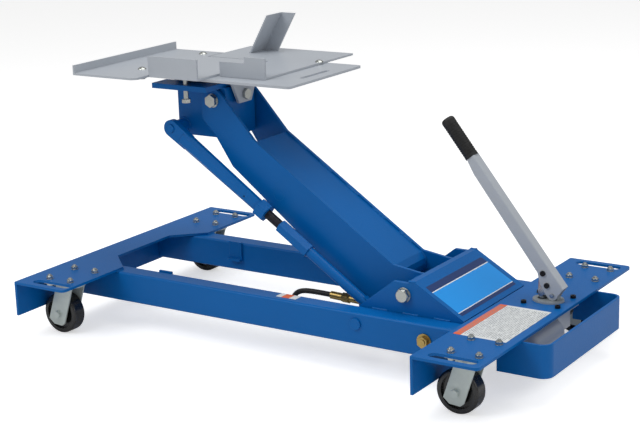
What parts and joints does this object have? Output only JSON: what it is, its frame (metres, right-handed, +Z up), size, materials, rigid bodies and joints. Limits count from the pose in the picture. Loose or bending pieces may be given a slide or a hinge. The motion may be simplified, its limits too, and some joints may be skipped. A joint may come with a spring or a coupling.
{
  "type": "low-lift transmission jack",
  "caption": "Low-profile floor jack: wide steel frame on swivel casters, hydraulic lift arm with a self-levelling tilting saddle, slotted brackets, and a foot pump handle.",
  "frame": {"origin": "on the floor, under the middle of the base frame's outline", "axes": "+X towards the pump and handle end, +Z up, +Y across the frame, away from the side with the levelling link"},
  "size_m": [1.346, 0.8128, 0.7503],
  "materials": {
    "blue_paint": "satin",
    "grey_paint": "satin",
    "zinc": "satin",
    "yellow_zinc": "satin",
    "dark_steel": "matte",
    "bare_steel": "satin",
    "black_oxide": "satin",
    "cast_grey": "satin",
    "phenolic": "gloss",
    "rubber": "matte",
    "knob": "matte"
  },
  "bodies": {
    "base": {"rail_left": "blue_paint", "rail_right": "blue_paint", "front_crossmember": "blue_paint", "rear_crossmember": "blue_paint", "arm_gussets": "blue_paint", "cover_plate": "blue_paint", "pump_guard": "blue_paint", "rest_brackets": "blue_paint", "cross_shaft": "blue_paint", "arm_pivot_bolts": "zinc", "rail_tie_rod": "yellow_zinc", "pump_flange": "cast_grey", "pump_block": "grey_paint", "pump_reservoir": "grey_paint", "pump_screws": "black_oxide", "hydraulic_hose": "rubber", "swivel_port": "dark_steel", "hose_fittings": "yellow_zinc", "caster_plates": "zinc", "caster_bolts": "zinc"},
    "arm": {"arm_side_left": "blue_paint", "arm_side_right": "blue_paint", "arm_cross_plates": "blue_paint", "arm_pivot_tube": "blue_paint", "lift_crossbar": "blue_paint", "head_pivot_bolts": "zinc"},
    "head": {"head_box": "blue_paint", "head_plate": "blue_paint", "link_upper_pin": "blue_paint", "tilt_pivot_bolts": "zinc"},
    "link": {"link_bar": "blue_paint", "link_threaded_rod": "dark_steel", "link_lower_rod": "blue_paint"},
    "sleeve": {"link_sleeve": "blue_paint"},
    "cylinder": {"cylinder_barrel": "blue_paint", "cylinder_gland": "black_oxide"},
    "ram": {"cylinder_rod": "bare_steel"},
    "saddle": {"saddle_base": "grey_paint", "saddle_clevises": "grey_paint"},
    "left_screw": {"tilt_screw_left": "zinc"},
    "right_screw": {"tilt_screw_right": "zinc"},
    "front_bracket": {"front_bracket": "grey_paint", "front_bracket_bolts": "zinc"},
    "rear_bracket": {"rear_bracket": "grey_paint", "upright_angle": "grey_paint", "rear_bracket_bolts": "zinc"},
    "handle": {"handle_channel": "grey_paint", "handle_lever": "bare_steel", "handle_grip": "rubber", "handle_screws": "black_oxide"},
    "plunger": {"pump_plunger": "bare_steel"},
    "valve": {"release_valve": "knob"},
    "front_left_fork": {"caster_fork_front_left": "zinc"},
    "front_left_wheel": {"caster_wheel_front_left": "phenolic"},
    "front_right_fork": {"caster_fork_front_right": "zinc"},
    "front_right_wheel": {"caster_wheel_front_right": "phenolic"},
    "rear_left_fork": {"caster_fork_rear_left": "zinc"},
    "rear_left_wheel": {"caster_wheel_rear_left": "phenolic"},
    "rear_right_fork": {"caster_fork_rear_right": "zinc"},
    "rear_right_wheel": {"caster_wheel_rear_right": "phenolic"}
  },
  "joints": [
    {"name": "arm_lift", "type": "hinge", "parent": "base", "child": "arm", "pos_m": [0.29, 0, 0.187], "axis": [0, 1, 0], "range_deg": [-34, 21]},
    {"name": "head_level", "type": "hinge", "parent": "arm", "child": "head", "pos_m": [-0.28618, 0, 0.57564], "axis": [0, 1, 0], "range_deg": [-21.5, 34.5]},
    {"name": "link_swing", "type": "hinge", "parent": "base", "child": "link", "pos_m": [0.19, 0, 0.117], "axis": [0, 1, 0], "range_deg": [-34.5, 21.5]},
    {"name": "ram_swing", "type": "hinge", "parent": "base", "child": "cylinder", "pos_m": [0.19, 0, 0.117], "axis": [0, 1, 0], "range_deg": [-38.6, 24]},
    {"name": "ram_extend", "type": "slide", "parent": "cylinder", "child": "ram", "axis": [-0.767, 0, 0.6416], "range_m": [-0.068, 0.042]},
    {"name": "link_sleeve_turn", "type": "hinge", "parent": "link", "child": "sleeve", "pos_m": [-0.03798, -0.109, 0.27078], "axis": [0.829, 0, -0.5592], "range_deg": [-180, 180]},
    {"name": "saddle_tilt", "type": "hinge", "parent": "head", "child": "saddle", "pos_m": [-0.28618, 0, 0.58404], "axis": [1, 0, 0], "range_deg": [-6, 6]},
    {"name": "left_screw_lift", "type": "slide", "parent": "head", "child": "left_screw", "axis": [0, 0, 1], "range_m": [-0.0126, 0.0126]},
    {"name": "right_screw_lift", "type": "slide", "parent": "head", "child": "right_screw", "axis": [0, 0, 1], "range_m": [-0.0126, 0.0126]},
    {"name": "front_bracket_slide", "type": "slide", "parent": "saddle", "child": "front_bracket", "axis": [-1, 0, 0], "range_m": [0, 0.04]},
    {"name": "rear_bracket_slide", "type": "slide", "parent": "saddle", "child": "rear_bracket", "axis": [0, 1, 0], "range_m": [0, 0.015]},
    {"name": "handle_pump", "type": "hinge", "parent": "base", "child": "handle", "pos_m": [0.561, 0.0685, 0.167], "axis": [0, 1, 0], "range_deg": [0, 45]},
    {"name": "plunger_stroke", "type": "slide", "parent": "base", "child": "plunger", "axis": [0, 0, 1], "range_m": [0, 0.0215]},
    {"name": "release_valve_turn", "type": "hinge", "parent": "base", "child": "valve", "pos_m": [0.5655, 0.1045, 0.112], "axis": [0, 1, 0], "range_deg": [0, 180]},
    {"name": "front_left_swivel", "type": "hinge", "parent": "base", "child": "front_left_fork", "pos_m": [-0.577, 0.3, 0.128], "axis": [0, 0, 1], "continuous": true},
    {"name": "front_left_roll", "type": "hinge", "parent": "front_left_fork", "child": "front_left_wheel", "pos_m": [-0.611, 0.3, 0.0508], "axis": [0, 1, 0], "continuous": true},
    {"name": "front_right_swivel", "type": "hinge", "parent": "base", "child": "front_right_fork", "pos_m": [-0.577, -0.3, 0.128], "axis": [0, 0, 1], "continuous": true},
    {"name": "front_right_roll", "type": "hinge", "parent": "front_right_fork", "child": "front_right_wheel", "pos_m": [-0.611, -0.3, 0.0508], "axis": [0, 1, 0], "continuous": true},
    {"name": "rear_left_swivel", "type": "hinge", "parent": "base", "child": "rear_left_fork", "pos_m": [0.5474, 0.3, 0.128], "axis": [0, 0, 1], "continuous": true},
    {"name": "rear_left_roll", "type": "hinge", "parent": "rear_left_fork", "child": "rear_left_wheel", "pos_m": [0.5134, 0.3, 0.0508], "axis": [0, 1, 0], "continuous": true},
    {"name": "rear_right_swivel", "type": "hinge", "parent": "base", "child": "rear_right_fork", "pos_m": [0.5474, -0.3, 0.128], "axis": [0, 0, 1], "continuous": true},
    {"name": "rear_right_roll", "type": "hinge", "parent": "rear_right_fork", "child": "rear_right_wheel", "pos_m": [0.5134, -0.3, 0.0508], "axis": [0, 1, 0], "continuous": true}
  ],
  "couplings": [
    {"joint": "head_level", "follows": "arm_lift", "ratio": -1},
    {"joint": "link_swing", "follows": "arm_lift", "ratio": 1},
    {"joint": "ram_swing", "follows": "arm_lift", "ratio": 1.12},
    {"joint": "ram_extend", "follows": "arm_lift", "m_per_rad": 0.1125},
    {"joint": "left_screw_lift", "follows": "saddle_tilt", "m_per_rad": 0.118},
    {"joint": "right_screw_lift", "follows": "saddle_tilt", "m_per_rad": -0.118},
    {"joint": "plunger_stroke", "follows": "handle_pump", "m_per_rad": 0.027}
  ]
}
